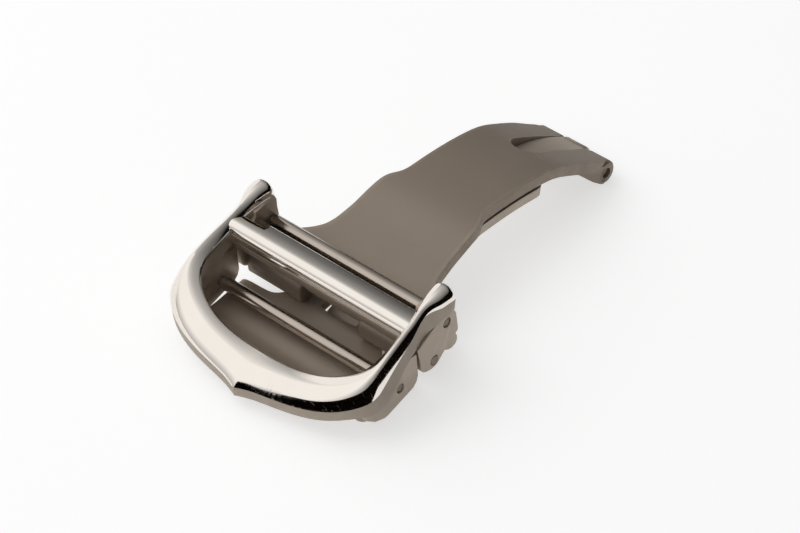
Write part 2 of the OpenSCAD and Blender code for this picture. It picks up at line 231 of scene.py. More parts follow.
def ringLoft(name, rings):
    # extrudes a circle ring by ring and lays each new ring on its section
    clearSelection()
    bpy.ops.mesh.primitive_circle_add(vertices=len(rings[0]), radius=1, fill_type="NGON")
    piece = newest(name)
    bpy.ops.object.mode_set(mode="EDIT")
    bpy.ops.mesh.select_mode(type="FACE")
    for number, ring in enumerate(rings):
        if number:
            bpy.ops.mesh.extrude_region_move()
        mesh = bmesh.from_edit_mesh(piece.data)
        top = [face for face in mesh.faces if face.select][0]
        for vert, spot in zip([loop.vert for loop in top.loops], ring):
            vert.co = spot
        bmesh.update_edit_mesh(piece.data)
    bpy.ops.object.mode_set(mode="OBJECT")
    tidyNormals(piece)
    return piece


def laidGrid(name, along, across, place):
    # a grid whose points are laid by place(u, v), u along it and v across it, from 0 to 1
    clearSelection()
    bpy.ops.mesh.primitive_grid_add(x_subdivisions=along, y_subdivisions=across, size=1)
    sheet = newest(name)
    for vert in sheet.data.vertices:
        vert.co = place(vert.co.x + 0.5, vert.co.y + 0.5)
    return sheet


def polishWith(piece, second, spots):
    # polish all over, and the second finish on every face that touches one of the spots
    marked = {tuple(round(c * 1e6) for c in spot) for spot in spots}
    near = {vert.index for vert in piece.data.vertices if tuple(round(c * 1e6) for c in vert.co) in marked}
    piece.data.materials.append(steels["polishedSteel"])
    piece.data.materials.append(steels[second])
    for face in piece.data.polygons:
        if near.intersection(face.vertices):
            face.material_index = 1


def sharpSeams(piece):
    # a crisp edge wherever two finishes meet
    mesh = bmesh.new()
    mesh.from_mesh(piece.data)
    for edge in mesh.edges:
        if len({face.material_index for face in edge.link_faces}) > 1:
            edge.smooth = False
    mesh.to_mesh(piece.data)
    mesh.free()


def newGroup(name, inputs, outputs):
    group = bpy.data.node_groups.new(name, "ShaderNodeTree")
    for label, kind, value in inputs:
        socket = group.interface.new_socket(name=label, in_out="INPUT", socket_type="NodeSocket" + kind)
        socket.default_value = value
    for label, kind in outputs:
        group.interface.new_socket(name=label, in_out="OUTPUT", socket_type="NodeSocket" + kind)
    return group, group.nodes.new("NodeGroupInput"), group.nodes.new("NodeGroupOutput")


def newMaterial(name):
    material = bpy.data.materials.new(name)
    material.use_nodes = True
    return material, material.node_tree, material.node_tree.nodes["Principled BSDF"]


def addNode(tree, kind, links=None, **settings):
    # a new node; each link names an input and gives it a value or another node's output
    node = tree.nodes.new(kind)
    for key, value in settings.items():
        setattr(node, key, value)
    for socket, source in (links or {}).items():
        if hasattr(source, "is_output"):
            tree.links.new(source, node.inputs[socket])
        else:
            node.inputs[socket].default_value = source
    return node


def mathNode(tree, operation, first, second):
    return addNode(tree, "ShaderNodeMath", {0: first, 1: second}, operation=operation).outputs[0]


def vectorNode(tree, operation, first, second):
    return addNode(tree, "ShaderNodeVectorMath", {0: first, 1: second}, operation=operation)


def noiseNode(tree, vector, scale, detail):
    return addNode(tree, "ShaderNodeTexNoise", {"Vector": vector, "Scale": scale, "Detail": detail}).outputs["Fac"]


def rangeNode(tree, value, low, high, newLow, newHigh):
    return addNode(tree, "ShaderNodeMapRange", {0: value, 1: low, 2: high, 3: newLow, 4: newHigh}).outputs[0]


def mixedColor(tree, factor, first, second):
    mix = addNode(tree, "ShaderNodeMix", {"Factor": factor, "A": first, "B": second}, data_type="RGBA")
    return mix.outputs["Result"]


def stretched(tree, vector, scale, turn=(0, 0, 0)):
    return addNode(tree, "ShaderNodeMapping", {"Vector": vector, "Scale": scale, "Rotation": turn}).outputs[0]


def towards(tree, direction, aim, stops):
    # brightness by direction: 0.5 is square to the aim and 1 looks straight at it
    facing = vectorNode(tree, "DOT_PRODUCT", direction, Vector(aim).normalized()).outputs["Value"]
    ramp = addNode(tree, "ShaderNodeValToRGB", {0: mathNode(tree, "ADD", mathNode(tree, "MULTIPLY", facing, 0.5), 0.5)})
    marks = ramp.color_ramp.elements
    while len(marks) < len(stops):
        marks.new(0.5)
    for mark, (spot, shade) in zip(marks, stops):
        mark.position = spot
        mark.color = (shade, shade, shade, 1)
    return ramp.outputs[0]


# the three effects that the finishes share; scales are in waves per metre
hairlineLook = {"length": 1200.0, "stretch": (26.0, 1.0, 1.0), "tilt": (0.3, 0.2), "level": 0.76,
                "turnAndSeed": ((0.5, 0.0), (2.0, 3.7))}
# corners lightened partly by real wear and partly by a painted highlight
wearAndHighlightLook = {"corner": (0.52, 0.60), "patchScale": 900.0, "patch": (0.35, 0.65), "least": 0.2}
grainLook = {"fineness": 9000.0, "stretch": (0.06, 1.0, 1.0), "cloudScale": 260.0}


def buildHairlines():
    # thin straight scratches in two directions, each broken into short strokes
    inputs = [("Vector", "Vector", (0, 0, 0)), ("Length", "Float", hairlineLook["length"]), ("Density", "Float", 0.02)]
    group, source, sink = newGroup("hairlines", inputs, [("Mask", "Float")])
    masks = []
    for turn, seed in hairlineLook["turnAndSeed"]:
        lines = stretched(group, source.outputs["Vector"], hairlineLook["stretch"], (*hairlineLook["tilt"], turn))
        moved = vectorNode(group, "ADD", lines, (seed, seed, seed)).outputs[0]
        wave = noiseNode(group, moved, source.outputs["Length"], 1.0)
        masks.append(mathNode(group, "GREATER_THAN", wave,
                              mathNode(group, "SUBTRACT", hairlineLook["level"], source.outputs["Density"])))
    group.links.new(mathNode(group, "MAXIMUM", masks[0], masks[1]), sink.inputs["Mask"])
    return group


def buildWearAndHighlight():
    # brightness along corners, partly real wear and partly a painted highlight, broken up so that no two corners are
    # alike
    group, source, sink = newGroup("edgeWearAndHighlight", [("Vector", "Vector", (0, 0, 0)), ("Amount", "Float", 0.5)],
                                   [("Mask", "Float")])
    corner = addNode(group, "ShaderNodeNewGeometry").outputs["Pointiness"]
    sharp = rangeNode(group, corner, *wearAndHighlightLook["corner"], 0.0, 1.0)
    patch = noiseNode(group, source.outputs["Vector"], wearAndHighlightLook["patchScale"], 3.0)
    broken = rangeNode(group, patch, *wearAndHighlightLook["patch"], wearAndHighlightLook["least"], 1.0)
    wornAndHighlit = mathNode(group, "MULTIPLY", mathNode(group, "MULTIPLY", sharp, broken), source.outputs["Amount"])
    group.links.new(wornAndHighlit, sink.inputs["Mask"])
    return group


def buildGrain():
    # fine drawn grain along X with a soft cloud over it
    inputs = [("Vector", "Vector", (0, 0, 0)), ("Fineness", "Float", grainLook["fineness"])]
    group, source, sink = newGroup("drawnGrain", inputs, [("Grain", "Float"), ("Cloud", "Float")])
    lines = stretched(group, source.outputs["Vector"], grainLook["stretch"])
    group.links.new(noiseNode(group, lines, source.outputs["Fineness"], 2.0), sink.inputs["Grain"])
    group.links.new(noiseNode(group, source.outputs["Vector"], grainLook["cloudScale"], 3.0), sink.inputs["Cloud"])
    return group


hairlines, edgeWearAndHighlight, drawnGrain = buildHairlines(), buildWearAndHighlight(), buildGrain()

# color is the plain metal and shade its darker clouds; rough varies by spread; the wear-and-highlight amount lightens
# the corners with real wear and a painted highlight
steelLook = {
    "polishedSteel": {"metal": 1.0, "color": (0.86, 0.81, 0.75), "shade": (0.80, 0.745, 0.68), "rough": 0.07,
                      "spread": 0.04, "bump": 0.03, "wearAndHighlight": 0.2, "scratch": 0.007,
                      "rubbed": {"middle": (-0.0204, -0.0036, 0.0038), "squeeze": (700, 420, 700),
                                 "strokes": (900, 9000, 900), "strength": 0.2}},
    "satinSteel": {"metal": 0.62, "color": (0.345, 0.285, 0.229), "shade": (0.31, 0.254, 0.202), "rough": 0.56,
                   "spread": 0.08, "bump": 0.10, "wearAndHighlight": 0.6, "scratch": 0.012},
    "bevelSteel": {"metal": 0.5, "color": (0.44, 0.372, 0.305), "shade": (0.40, 0.336, 0.272), "rough": 0.50,
                   "spread": 0.08, "bump": 0.10, "wearAndHighlight": 0.7, "scratch": 0.012},
    "pressedSteel": {"metal": 0.7, "color": (0.52, 0.44, 0.362), "shade": (0.46, 0.388, 0.315), "rough": 0.48,
                     "spread": 0.08, "bump": 0.10, "wearAndHighlight": 0.4, "scratch": 0.015},
    "turnedSteel": {"metal": 1.0, "color": (0.50, 0.44, 0.38), "shade": (0.43, 0.375, 0.32), "rough": 0.17,
                    "spread": 0.07, "bump": 0.06, "wearAndHighlight": 0.4, "scratch": 0.02},
    "springWire": {"metal": 1.0, "color": (0.50, 0.48, 0.45), "shade": (0.42, 0.40, 0.37), "rough": 0.3,
                   "spread": 0.08, "bump": 0.08, "wearAndHighlight": 0.3, "scratch": 0.01},
}
# how much brighter a worn edge is with its painted highlight, how rough and how deep a scratch is, and the relief's
# height in metres
wearAndHighlightGlow, scratchRough, scratchDepth, reliefHeight = 1.22, 0.22, 0.6, 0.00002


def rubbedStrokes(tree, where, rubbed):
    # short strokes where the clasp has been rubbed, on the right front of the band
    away = vectorNode(tree, "SUBTRACT", where, rubbed["middle"]).outputs[0]
    squeezed = vectorNode(tree, "MULTIPLY", away, rubbed["squeeze"]).outputs[0]
    reach = addNode(tree, "ShaderNodeVectorMath", {0: squeezed}, operation="LENGTH").outputs["Value"]
    patch = rangeNode(tree, reach, 0.5, 1.0, 1.0, 0.0)
    combed = vectorNode(tree, "MULTIPLY", where, rubbed["strokes"]).outputs[0]
    strokes = rangeNode(tree, noiseNode(tree, combed, 1.0, 2.0), 0.5, 0.64, 0.0, rubbed["strength"])
    return mathNode(tree, "MULTIPLY", patch, strokes)


def makeSteel(name, look):
    steel, tree, shader = newMaterial(name)
    shader.inputs["Metallic"].default_value = look["metal"]
    where = addNode(tree, "ShaderNodeTexCoord").outputs["Object"]
    grain = addNode(tree, "ShaderNodeGroup", node_tree=drawnGrain)
    wearAndHighlight = addNode(tree, "ShaderNodeGroup", node_tree=edgeWearAndHighlight)
    marks = addNode(tree, "ShaderNodeGroup", node_tree=hairlines)
    for group in (grain, wearAndHighlight, marks):
        tree.links.new(where, group.inputs["Vector"])
    wearAndHighlight.inputs["Amount"].default_value = look["wearAndHighlight"]
    marks.inputs["Density"].default_value = look["scratch"]
    clouded = mixedColor(tree, grain.outputs["Cloud"], (*look["shade"], 1), (*look["color"], 1))
    # worn corners get lighter, with a painted highlight on them
    bright = (*[min(1.0, c * wearAndHighlightGlow) for c in look["color"]], 1)
    tree.links.new(mixedColor(tree, wearAndHighlight.outputs["Mask"], clouded, bright), shader.inputs["Base Color"])
    mottled = rangeNode(tree, grain.outputs["Cloud"], 0.3, 0.7,
                        look["rough"] - look["spread"] / 2, look["rough"] + look["spread"] / 2)
    rough = mathNode(tree, "ADD", mottled, mathNode(tree, "MULTIPLY", marks.outputs["Mask"], scratchRough))
    if "rubbed" in look:
        rough = mathNode(tree, "ADD", rough, rubbedStrokes(tree, where, look["rubbed"]))
    tree.links.new(rough, shader.inputs["Roughness"])
    height = mathNode(tree, "SUBTRACT", grain.outputs["Grain"],
                      mathNode(tree, "MULTIPLY", marks.outputs["Mask"], scratchDepth))
    bump = addNode(tree, "ShaderNodeBump", {"Height": height, "Strength": look["bump"], "Distance": reliefHeight})
    tree.links.new(bump.outputs["Normal"], shader.inputs["Normal"])
    return steel


steels = {name: makeSteel(name, look) for name, look in steelLook.items()}
print("finishes made:", ", ".join(steels))


def coat(piece, steel):
    piece.data.materials.clear()
    piece.data.materials.append(steels[steel])


def finish(piece, steel, body, node):
    coat(piece, steel)
    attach(piece, body)
    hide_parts(node)


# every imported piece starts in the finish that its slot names
slotSteel = {"polished_steel": "turnedSteel", "satin_steel": "satinSteel", "spring_steel": "springWire"}
for part in frame["record"]["subparts"]:
    coat(frame["nodes"][part["node"]], slotSteel[part["material_slot"]])

# the band: outer and inner are x and y of its two edges; crest, polish and bevel are heights over x of its
# ridge, of the lower end of its polished slope and of the foot of its bevel; all measured from the head hinge
shield = {
    "outer": [(-12.4, 0), (-11.98, 1.6), (-11.6, 4), (-11.05, 6.6), (-10.05, 9), (-8.55, 10.65), (-6.9, 11),
              (-4.6, 10.8), (-2.5, 10.5), (-0.9, 10.32), (0.3, 10.72), (1.48, 10.92)],
    "inner": [(-9.2, 0), (-9.15, 2), (-8.95, 4), (-8.45, 6.1), (-7.5, 8.05), (-6.4, 9.05), (-5.3, 9.35),
              (-4, 9.35), (-2.6, 9.35), (-1.3, 9.25), (0.2, 9.0), (1.48, 8.78)],
    "crest": [(-12.4, -0.4), (-10.5, 0.75), (-9, 1.8), (-7.3, 2.9), (-5.8, 3.72), (-4.5, 4.28), (-3.4, 4.68),
              (-2.3, 5.1), (-1.1, 5.72), (0.1, 6.3), (1.48, 6.62), (3, 6.6)],
    "polish": [(-12.4, -1.25), (-10.5, -0.25), (-9, 0.45), (-7.3, 1.05), (-5.8, 1.85), (-4.5, 2.6),
               (-3.4, 3.35), (-2.3, 4.1), (-1.1, 4.8), (0.1, 5.3), (1.48, 5.53), (3, 5.5)],
    "bevel": [(-12.4, -1.85), (-10.6, -0.95), (-9.6, -0.5), (-8.2, -0.3), (-7, -0.4), (-5.9, -0.15),
              (-4.8, 0.75), (-3.8, 1.6), (-2.7, 2.2), (-2.1, 2.4), (-0.4, 3.4), (0.5, 3.95), (3, 4.1)],
    "stations": 89, "bevelWidth": 0.12, "bevelRise": 0.4, "steep": 1.9, "powers": (2.0, 4.5),
    "flattest": 0.3, "roundest": 1.25,
    "outerShares": (1, 0.985, 0.96, 0.93, 0.89, 0.84, 0.78, 0.71, 0.63, 0.55, 0.46, 0.37, 0.28, 0.18, 0.09, 0),
    "innerShares": (0.2, 0.4, 0.55, 0.7, 0.8, 0.88),
    "innerLift": 0.5, "innerDrop": 0.72, "innerPower": 1.35, "lip": 0.16, "lipTurns": (15, 35, 55, 75, 90),
    "hornStart": -1.4, "hornBlend": 1.8, "hornFall": 1.15, "hornRadius": 1.07, "hornMiddle": 9.85,
    "hornFoot": 4.33, "hornTurns": (8, 16, 24, 32, 40, 48, 56, 64, 72, 80, 86),
}
crestAt, polishAt, bevelAt = (heightLine(shield[key]) for key in ("crest", "polish", "bevel"))
outerEdge = spline(shield["outer"], shield["stations"])
innerFull = [(x, -y) for x, y in shield["inner"][:0:-1]] + shield["inner"]
innerEdge = spline(innerFull, 2 * shield["stations"] - 1)[shield["stations"] - 1:]
lastStation = shield["stations"] - 1


def bandSection(step, side):
    outer, inner = outerEdge[step], innerEdge[step]
    middle, half = (outer + inner) / 2, (outer - inner) / 2
    width = float(np.linalg.norm(half))
    outwards = half / width
    foot = outer - outwards * shield["bevelWidth"]
    ring = [(inner[0], inner[1], bevelAt(inner[0]) + shield["innerLift"]), (foot[0], foot[1], bevelAt(foot[0]))]
    # the polished slope ends at its edge with the same steepness all round
    slope = crestAt(outer[0]) - polishAt(outer[0])
    rise = min(max(shield["flattest"], slope - shield["bevelRise"]), shield["roundest"] * width)
    power = min(shield["powers"][1], max(shield["powers"][0], shield["steep"] * width / rise))
    # towards the horns the section turns into a plain rounded one
    horn = min(1.0, max(0.0, (middle[0] - shield["hornStart"]) / shield["hornBlend"]))
    for share in shield["outerShares"]:
        spot = middle + half * share
        fall = (1 - horn) * rise * share ** power + horn * max(rise, slope) * (1 - math.sqrt(1 - share ** 2))
        ring.append((spot[0], spot[1], crestAt(spot[0]) - fall))
    for share in shield["innerShares"]:
        spot = middle - half * share
        fall = ((1 - horn) * shield["innerDrop"] * share ** shield["innerPower"]
                + horn * shield["hornFall"] * (1 - math.sqrt(1 - share ** 2)))
        ring.append((spot[0], spot[1], crestAt(spot[0]) - fall))
    edgeHeight = crestAt(inner[0]) - (1 - horn) * shield["innerDrop"] - horn * shield["hornFall"]
    for turn in shield["lipTurns"]:  # the rounded lip of the window
        a = math.radians(turn)
        spot = inner + outwards * shield["lip"] * (1 - math.sin(a))
        ring.append((spot[0], spot[1], edgeHeight - shield["lip"] * (1 - math.cos(a))))
    return [fromHead(x, side * y, z) for x, y, z in ring]


def hornSection(turn, side):
    # the last section of the band, turned about the horn's foot to close its round end
    a = math.radians(turn)
    pole = fromHead(0, side * shield["hornMiddle"], shield["hornFoot"])
    return [Vector((spot.x + shield["hornRadius"] * mm * math.sin(a),
                    pole.y + (spot.y - pole.y) * math.cos(a), pole.z + (spot.z - pole.z) * math.cos(a)))
            for spot in bandSection(lastStation, side)]


bandRings = [hornSection(turn, 1) for turn in reversed(shield["hornTurns"])]
bandRings += [bandSection(step, 1) for step in range(lastStation, 0, -1)]
bandRings += [bandSection(step, -1) for step in range(lastStation + 1)]
bandRings += [hornSection(turn, -1) for turn in shield["hornTurns"]]
coverFrame = ringLoft("coverFrame", bandRings)
polishWith(coverFrame, "bevelSteel", [ring[at] for ring in bandRings for at in (0, 1)])
print("band lofted:", len(coverFrame.data.vertices), "points")

# the bar between the horns: face is its front, from the underside up, and crown its top, from the highest line
crossBar = {
    "middle": -1.6, "half": 1.225, "top": 4.95, "height": 2.4, "end": 9.98, "flare": 0.7, "edge": 0.03,
    "face": [(-0.95, 0), (-1.08, 0.5), (-1.12, 0.72), (-1.02, 0.76), (-1.02, 0.84), (-1.2, 0.88), (-1.225, 1.38),
             (-1.1, 1.43), (-1.1, 1.53), (-1.225, 1.57)],
    "crown": [(-1.225, -0.75), (-1.065, -0.35), (-0.78, -0.09), (-0.42, 0), (0.1, -0.07), (0.6, -0.22),
              (1.155, -0.43), (1.225, -0.5)],
    "stations": [9.98, 9.95, 9.9, 9.84, 9.77, 9.69, 9.6, 9.5, 9.4, 9.3, 9.0, 6, 3],
    "satin": (0, 1, 3, 7, 8, -2, -1),  # the points of the outline that get the satin finish
}
barOutline = [(x, crossBar["top"] - crossBar["height"] + z) for x, z in crossBar["face"]]
barOutline += [(x, crossBar["top"] + z) for x, z in spline(crossBar["crown"], 29)]
barOutline.append((crossBar["half"], crossBar["top"] - crossBar["height"]))


def barSection(y):
    # the bar's outline at y: it flares into the band at both ends
    reach = max(0.0, abs(y) - (crossBar["end"] - crossBar["flare"])) / crossBar["flare"]
    wider = crossBar["flare"] * (1 - math.sqrt(max(0.0, 1 - reach ** 2)))
    return [fromHead(crossBar["middle"] + x + math.copysign(wider, x) * (abs(x) / crossBar["half"]) ** 4, y, z)
            for x, z in barOutline]


barStations = [-y for y in crossBar["stations"]] + [0] + crossBar["stations"][::-1]
barRings = [barSection(y) for y in barStations]
bar = ringLoft("crossBar", barRings)
polishWith(bar, "satinSteel", [ring[at] for ring in barRings for at in crossBar["satin"]])
softEdges(bar, crossBar["edge"], 2, 50)

# the flat wall on each side carries the front rod, and the ear inside each horn turns on the rear rod
sideWall = {
    "outline": [(-8.6, 0.1), (-7.9, -1.25), (-7.0, -1.95), (-5.95, -2.28), (-5.55, -2.26), (-2.5, -1.3),
                (-2.1, -0.9), (-1.9, -0.3), (-2.12, 2.1), (-3.9, 2.2), (-5.5, 1.2), (-7, 0.3)],
    "pinHole": 0.395, "edge": 0.12,
    "earRound": 0.82, "earTop": [(0.62, 1.2), (0.56, 2.0), (0.3, 2.5), (-1.9, 2.0), (-1.9, 1.0)],
    "earReach": (8.75, 9.25),
}
walls = []
for side in (1, -1):
    wall = plateAlongY("wall", around(headPin, sideWall["outline"]), *bothWays(side, wallIn, wallOut))
    drill(wall, frontRod, sideWall["pinHole"], *bothWays(side, 9, 11))
    softEdges(wall, sideWall["edge"], 3, 30)
    earLine = arcPoints(rearRod, sideWall["earRound"], -180, 11.46, 30) + around(rearRod, sideWall["earTop"])
    walls += [wall, plateAlongY("ear", earLine, *bothWays(side, *sideWall["earReach"]))]
for part in walls:
    coat(part, "pressedSteel")
joinInto(coverFrame, walls + [bar])
smoothBelow(coverFrame, 30)
sharpSeams(coverFrame)
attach(coverFrame, "cover")
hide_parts("cover_frame")
print("cover frame joined:", len(coverFrame.data.polygons), "faces")


def bladeSheet(name, blade, stops, outer, inner, along=150, across=22):
    # two halves of a grid laid on the crown between the inner and the outer outline, joined on the middle line;
    # the grid has a row at each stop, where an outline turns
    crown = spline(blade["crown"], 300)
    rows = [*np.linspace(crown[0][0], crown[-1][0], along), *stops]
    xs = sorted(set(round(float(x), 4) for x in rows))
    lift = evened(crown, 0.8)
    places = [(x, lift(x)) for x in xs]
    halves = []
    for side in (1, -1):
        def place(u, v):
            x, z = places[int(round(u * (len(places) - 1)))]
            near, far = inner(x), outer(x)
            return fromHead(x, side * (near + (far - near) * v), z)
        halves.append(laidGrid(name, len(places) - 1, across, place))
    sheet = joinInto(halves[0], halves[1:])
    tidyNormals(sheet, merge=0.0000005)
    takeUp(sheet)
    bpy.ops.object.mode_set(mode="EDIT")
    mesh = bmesh.from_edit_mesh(sheet.data)
    mesh.normal_update()
    if sum(face.normal.z for face in mesh.faces) < 0:
        bpy.ops.mesh.select_all(action="SELECT")
        bpy.ops.mesh.flip_normals()
    bpy.ops.object.mode_set(mode="OBJECT")
    useModifier(sheet, "SOLIDIFY", thickness=blade["thick"] * mm, offset=-1, use_even_offset=True)
    softEdges(sheet, blade["edge"], 3, 48)
    return sheet


# crown is the height of the top face over x, and plan the half width over x, both from the head hinge
upperBlade = {
    "crown": [(0, 1.1), (1.4, 1.2), (3.5, 1.72), (4.95, 2.16), (7.6, 2.9), (9.6, 3.58), (11.1, 3.92), (12.8, 4.02),
              (14.8, 4.02), (17.2, 3.93), (19.7, 3.68), (22.3, 3.2), (24.0, 2.45), (26.1, 1.4), (28.1, 0.27),
              (30.2, -0.93)],
    "plan": [(-1.2, 8.9), (1.6, 8.9), (2.1, 8.8), (2.6, 8.55), (3.0, 8.2), (3.5, 7.5), (4.1, 6.7), (4.9, 5.98),
             (5.8, 5.65), (7.6, 5.4), (9.6, 5.3), (11, 5.2), (11.6, 5.05), (12, 4.83), (12.35, 4.58), (12.7, 4.4),
             (13.4, 4.3), (26.6, 4.3), (27.4, 4.22), (28.2, 4.05), (28.9, 3.96), (29.4, 3.92), (29.7, 3.82),
             (29.95, 3.65), (30.2, 3.35)],
    "thick": 1.0, "edge": 0.13, "pinHole": 0.5,
    "fork": {"half": 3.2, "root": 1.2, "round": 0.7}, "notch": {"start": 22.2, "half": 1.4}, "tipFlare": 29.75,
    "knuckle": [(0.3, 1.1), (0, 1.1), (-0.45, 1.02), (-0.85, 0.77), (-1.1, 0.47), (-1.2, 0.1), (-1.21, -0.45),
                (-1.12, -0.88), (-0.87, -1.15), (-0.51, -1.24), (-0.1, -1.2), (0.35, -1.08), (0.8, -0.8),
                (1.08, -0.25), (1.05, 0.35), (0.75, 0.85), (0.3, 1.1)],
    "knuckleReach": (3.2, 9.2), "knuckleEdge": 0.16,
    "barrel": {"radius": 1.1, "reach": (1.4, 3.95), "edge": 0.26},
    "web": [(-6.2, 3.85), (-5.87, 3.42), (-4.8, 2.78), (-3.8, 1.98), (-3.1, 1.3), (-2.47, 0.67), (-1.8, 0.04),
            (-1.1, -0.52), (-0.7, -0.82), (-0.3, -0.98), (0, -0.3), (-0.3, 0.85), (-1.6, 1.85), (-3.6, 2.95),
            (-5.7, 4.0)],
    "webReach": (1.42, 3.95), "webEdge": 0.14,
}
upperPlan = evened(upperBlade["plan"], 0.25)
fork, notch = upperBlade["fork"], upperBlade["notch"]


def upperInner(x):
    # half width of what is open in the middle: the fork at the head and the notch at the fold
    if x < fork["root"]:
        turn = max(0.0, x - (fork["root"] - fork["round"]))
        return fork["half"] - (fork["round"] - math.sqrt(max(0.0, fork["round"] ** 2 - turn ** 2)))
    if x < notch["start"]:
        return 0.0
    if x > notch["start"] + notch["half"]:
        return notch["half"] + 2 * max(0.0, x - upperBlade["tipFlare"]) ** 2
    return math.sqrt(max(0.0, notch["half"] ** 2 - (notch["start"] + notch["half"] - x) ** 2))


stops = [fork["root"] - 0.0001, fork["root"] + 0.0001]
stops += [fork["root"] - fork["round"] + fork["round"] * math.sin(a) for a in np.linspace(0, 1.5, 8)]
stops += [notch["start"] + notch["half"] * (1 - math.cos(a)) for a in np.linspace(0.0, 1.57, 12)]
stops += [x for x, w in upperBlade["plan"][2:-1]]
upper = bladeSheet("upperBlade", upperBlade, stops, upperPlan, upperInner)
drill(upper, foldPin, upperBlade["pinHole"], -6, 6)
knuckleLine = around(headPin, spline(upperBlade["knuckle"], 70)[:-1])
parts = []
for side in (1, -1):
    barrel = roundBar("foldBarrel", foldPin, upperBlade["barrel"]["radius"],
                      *bothWays(side, *upperBlade["barrel"]["reach"]), sides=96, edge=upperBlade["barrel"]["edge"])
    drill(barrel, foldPin, upperBlade["pinHole"], -6, 6)
    web = plateAlongY("foldWeb", around(foldPin, upperBlade["web"]), *bothWays(side, *upperBlade["webReach"]))
    drill(web, foldPin, upperBlade["pinHole"], -6, 6)
    softEdges(web, upperBlade["webEdge"], 3, 50)
    knuckle = plateAlongY("headKnuckle", knuckleLine, *bothWays(side, *upperBlade["knuckleReach"]))
    softEdges(knuckle, upperBlade["knuckleEdge"], 4, 50)
    parts += [web, barrel, knuckle]
joinInto(upper, parts)
smoothBelow(upper, 30)
finish(upper, "satinSteel", "upper_arm", "upper_blade")
print("upper blade made:", len(upper.data.polygons), "faces")

lowerBlade = {
    "crown": [(-7.1, -1.65), (-6.4, -2.01), (-5.7, -2.15), (-5.0, -2.01), (-2.7, -1.6), (-1.1, -1.42), (0.4, -1.22),
              (1.9, -1.1), (3.4, -0.65), (5.3, 0.4), (7.6, 1.6), (9.6, 2.28), (11.1, 2.62), (12.8, 2.72),
              (14.8, 2.72), (17.2, 2.63), (19.7, 2.38), (21.3, 2.13), (23.7, 1.8), (26.1, 1.1), (28.1, 0.22),
              (30.2, -0.93)],
    "plan": [(-7.1, 8.95), (-6.95, 9.15), (-6.7, 9.25), (-5.8, 9.25), (-1.75, 9.2), (-1.6, 8.95), (-1.53, 8.4),
             (-1.5, 7.3), (-1.46, 6.6), (-1.38, 6.25), (-1.27, 6.0), (-1.08, 5.73), (-0.83, 5.5), (-0.4, 5.2),
             (0, 5.0), (2.5, 5.0), (2.56, 8.6), (2.66, 8.95), (2.82, 9.15), (3.1, 9.28), (3.5, 9.28), (3.8, 9.15),
             (4.0, 8.95), (4.1, 8.7), (4.3, 7.4), (4.5, 6.4), (4.9, 5.5),
             (5.5, 4.9), (6.3, 4.5), (7.1, 4.3), (19.9, 4.3), (20.4, 4.2), (20.8, 3.95), (21.1, 3.55), (21.25, 3.2),
             (21.3, 2.9), (21.5, 1.3), (30.9, 1.3)],
    "thick": 0.85, "edge": 0.1, "pinHole": 0.52,
    "window": {"start": -0.36, "end": 2.54, "half": 1.95, "bow": 6.4, "corner": 2.6},
    "tongueBarrel": {"radius": 1.2, "half": 1.3, "edge": 0.3},
    "flap": [(2.75, -1.35), (2.75, -1.95), (0.15, -2.72), (0.08, -2.4)], "flapHalf": 1.9,
    "ear": {"pin": (2.62, 0.03), "radius": 0.55, "reach": (9.0, 9.85), "edge": 0.12},
    "lipFoot": [(3.45, -1.1), (2.75, -1.3)], "lipReach": (9.0, 9.3),
    "eyeFoot": [(1.9, -0.75), (2.0, -0.76), (2.0, -1.6), (0.6, -0.87)], "eyeRadius": 0.85, "eyeHole": 0.36,
    "eyeReach": (6.6, 7.7),
}
lowerPlan = widthAt(lowerBlade["plan"])
window = lowerBlade["window"]


def lowerInner(x):
    # half width of the window between the ears
    if not window["start"] < x < window["end"]:
        return 0.0
    front = math.sqrt(max(0.0, window["bow"] ** 2 - (window["bow"] - (x - window["start"])) ** 2))
    return min(window["half"], front, window["corner"] * (window["end"] - x) ** 0.5)


stops = [window["start"] + s for s in (0.0, 0.01, 0.03, 0.06, 0.1, 0.15, 0.2, 0.25, 0.3)]
stops += [window["end"] - s for s in (0, 0.01, 0.05, 0.1, 0.2, 0.35, 0.5)]
stops += [x for x, w in lowerBlade["plan"][1:-1]]
lower = bladeSheet("lowerBlade", lowerBlade, stops, lowerPlan, lowerInner)
drill(lower, foldPin, lowerBlade["pinHole"], -6, 6)
tongue = lowerBlade["tongueBarrel"]
barrel = roundBar("tongueBarrel", foldPin, tongue["radius"], -tongue["half"], tongue["half"], sides=96,
                  edge=tongue["edge"])
# a sloping sheet under the neck window that closes most of it from below
flap = plateAlongY("windowSheet", around(headPin, lowerBlade["flap"]), -lowerBlade["flapHalf"],
                   lowerBlade["flapHalf"])
softEdges(flap, 0.1, 3, 40)
drill(barrel, foldPin, lowerBlade["pinHole"], -6, 6)
parts = [barrel, flap]
ear = lowerBlade["ear"]
earPin = around(headPin, [ear["pin"]])[0]
for side in (1, -1):
    rolled = roundBar("rolledEar", earPin, ear["radius"], *bothWays(side, *ear["reach"]), sides=48, edge=ear["edge"])
    lipLine = around(earPin, [(-ear["radius"], 0), (ear["radius"], 0)]) + around(headPin, lowerBlade["lipFoot"])
    lip = plateAlongY("earLip", lipLine, *bothWays(side, *lowerBlade["lipReach"]))
    softEdges(lip, 0.06, 2, 40)
    eyeLine = lowerBlade["eyeFoot"] + arcPoints((0, 0), lowerBlade["eyeRadius"], -78, -270, 24)
    eye = plateAlongY("barEye", around(strapBar, eyeLine)[::-1], *bothWays(side, *lowerBlade["eyeReach"]))
    drill(eye, strapBar, lowerBlade["eyeHole"], -9, 9)
    softEdges(eye, 0.1, 3, 40)
    parts += [rolled, lip, eye]
joinInto(lower, parts)
smoothBelow(lower, 30)
finish(lower, "pressedSteel", "lower_arm", "lower_blade")
print("lower blade made:", len(lower.data.polygons), "faces")

